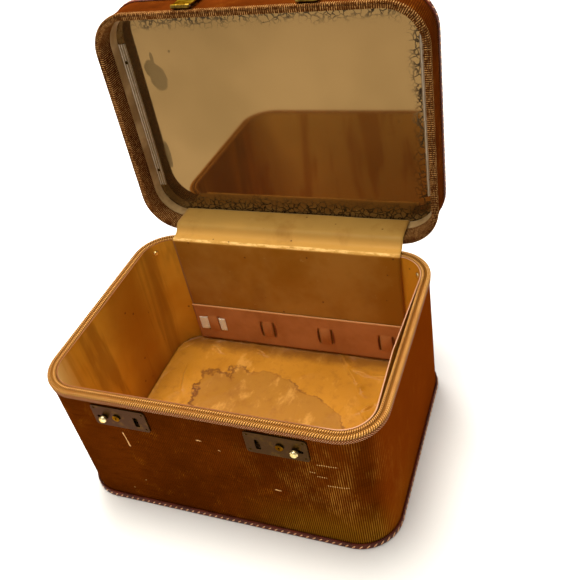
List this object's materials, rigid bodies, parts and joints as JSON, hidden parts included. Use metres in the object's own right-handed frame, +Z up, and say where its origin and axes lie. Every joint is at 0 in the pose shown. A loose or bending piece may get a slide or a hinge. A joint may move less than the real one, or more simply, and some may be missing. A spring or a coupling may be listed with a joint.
{
  "type": "makeup train case",
  "caption": "Cloth-covered travel case with rounded corners and piped rims, its lid standing open on a full-size mirror over a lined, padded interior.",
  "frame": {"origin": "centre of the case's underside", "axes": "+X to the right along the front, +Y to the back where the lid is hinged, +Z up"},
  "size_m": [0.346, 0.3297, 0.4331],
  "materials": {
    "wood": "bare plywood, hidden by the coverings",
    "cloth": "coated brown cloth with fine upright ribs",
    "rim_binding": "woven golden piping",
    "leather": "dark stitched leather",
    "card": "paper-faced board, stained with age",
    "lining": "tan lining cloth",
    "satin": "golden satin, creased and water-marked",
    "elastic": "woven white elastic",
    "mirror_glass": "aged silvering behind glass",
    "clear_plastic": "clear ridged strip",
    "brass": "dark tarnished brass, worn bright on the high parts",
    "steel": "plated steel"
  },
  "bodies": {
    "body": {"base_board": "leather", "body_wall": "wood", "body_cover": "cloth", "base_binding": "leather", "rim_binding_outer": "rim_binding", "rim_binding_inner": "rim_binding", "body_liner": "card", "base_pad": "satin", "back_panel": "card", "hinge_flap": "lining", "bottle_strap": "lining", "elastic_ribbon": "elastic", "stay_rivet_left": "brass", "stay_rivet_right": "brass", "hinge_body_leaf_left": "steel", "hinge_body_leaf_right": "steel", "hinge_pin_left": "steel", "hinge_pin_right": "steel", "latch_plate_left": "brass", "latch_plate_right": "brass", "latch_spring_left": "steel", "latch_spring_right": "steel"},
    "lid": {"lid_wall": "wood", "lid_panel": "wood", "lid_cover": "cloth", "lid_top_cover": "cloth", "lid_top_binding": "leather", "lid_rim_binding": "rim_binding", "lid_turn_in": "cloth", "lid_liner": "satin", "mirror": "mirror_glass", "mirror_backing": "card", "mirror_strip_left": "clear_plastic", "mirror_strip_right": "clear_plastic", "strip_pin_left_upper": "brass", "strip_pin_right_upper": "brass", "strip_pin_left_lower": "brass", "strip_pin_right_lower": "brass", "hinge_lid_leaf_left": "steel", "hinge_lid_leaf_right": "steel", "hasp_bracket_left": "brass", "hasp_bracket_right": "brass", "hasp_pin_left": "steel", "hasp_pin_right": "steel", "handle_bracket_left": "brass", "handle_bracket_right": "brass", "handle_pin_left": "steel", "handle_pin_right": "steel"},
    "handle": {"handle_bail": "steel", "handle_grip": "leather"},
    "latch_slide_left": {"latch_bolt_left": "brass", "latch_knob_left": "brass"},
    "key_left": {"key_barrel_left": "brass"},
    "hasp_left": {"hasp_left": "brass"},
    "latch_slide_right": {"latch_bolt_right": "brass", "latch_knob_right": "brass"},
    "key_right": {"key_barrel_right": "brass"},
    "hasp_right": {"hasp_right": "brass"}
  },
  "joints": [
    {"name": "lid_hinge", "type": "hinge", "parent": "body", "child": "lid", "pos_m": [0, 0.1315, 0.1613], "axis": [1, 0, 0], "range_deg": [0, 91], "deforming": ["hinge_flap"]},
    {"name": "handle_swing", "type": "hinge", "parent": "lid", "child": "handle", "pos_m": [0, 0.18979, 0.2918], "axis": [1, 0, 0], "range_deg": [0, 180]},
    {"name": "latch_slide_left", "type": "slide", "parent": "body", "child": "latch_slide_left", "axis": [-1, 0, 0], "range_m": [0, 0.006], "stiffness_N_per_m": 250, "springref_m": -0.004, "deforming": ["latch_spring_left"]},
    {"name": "key_turn_left", "type": "hinge", "parent": "body", "child": "key_left", "pos_m": [-0.0825, -0.1265, 0.1385], "axis": [0, 1, 0], "range_deg": [0, 90]},
    {"name": "hasp_fold_left", "type": "hinge", "parent": "lid", "child": "hasp_left", "pos_m": [-0.0635, 0.14308, 0.42344], "axis": [1, 0, 0], "range_deg": [0, 180]},
    {"name": "latch_slide_right", "type": "slide", "parent": "body", "child": "latch_slide_right", "axis": [1, 0, 0], "range_m": [0, 0.006], "stiffness_N_per_m": 250, "springref_m": -0.004, "deforming": ["latch_spring_right"]},
    {"name": "key_turn_right", "type": "hinge", "parent": "body", "child": "key_right", "pos_m": [0.0825, -0.1265, 0.1385], "axis": [0, 1, 0], "range_deg": [0, 90]},
    {"name": "hasp_fold_right", "type": "hinge", "parent": "lid", "child": "hasp_right", "pos_m": [0.0635, 0.14308, 0.42344], "axis": [1, 0, 0], "range_deg": [0, 180]}
  ]
}
